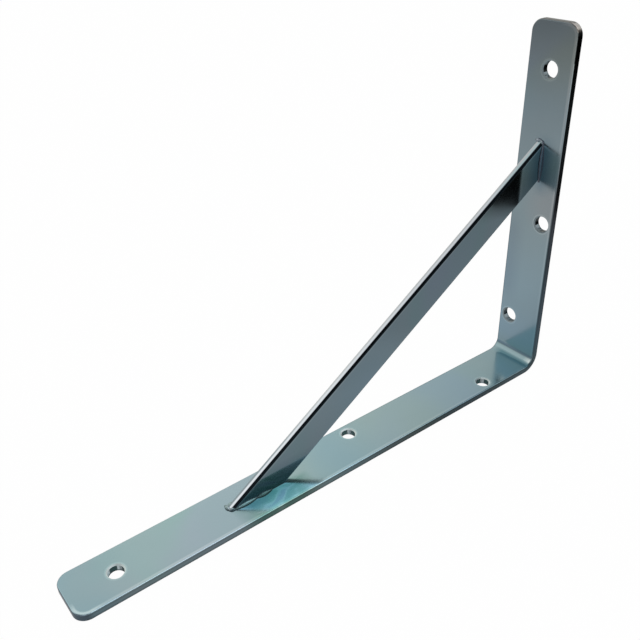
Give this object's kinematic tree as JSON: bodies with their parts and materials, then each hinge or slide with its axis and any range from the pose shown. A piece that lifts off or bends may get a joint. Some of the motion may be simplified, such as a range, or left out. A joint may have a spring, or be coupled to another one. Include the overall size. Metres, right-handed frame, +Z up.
{
  "type": "gallows shelf bracket",
  "caption": "Right-angled shelf bracket bent from flat steel strap, with a diagonal flat brace welded on edge between its unequal legs and staggered screw holes.",
  "frame": {"origin": "sharp outer corner of the bend, at mid-width of the strap", "axes": "+X along the long leg, +Z up the short leg, Y across the strap; both outer faces lie on the planes through the origin"},
  "size_m": [0.316, 0.03, 0.215],
  "materials": {
    "zinc_plated_steel": "bright zinc plate with a faint blue-green passivate tint"
  },
  "bodies": {
    "root": {"strap": "zinc_plated_steel", "brace": "zinc_plated_steel", "foot_weld": "zinc_plated_steel", "top_weld": "zinc_plated_steel"}
  },
  "joints": []
}
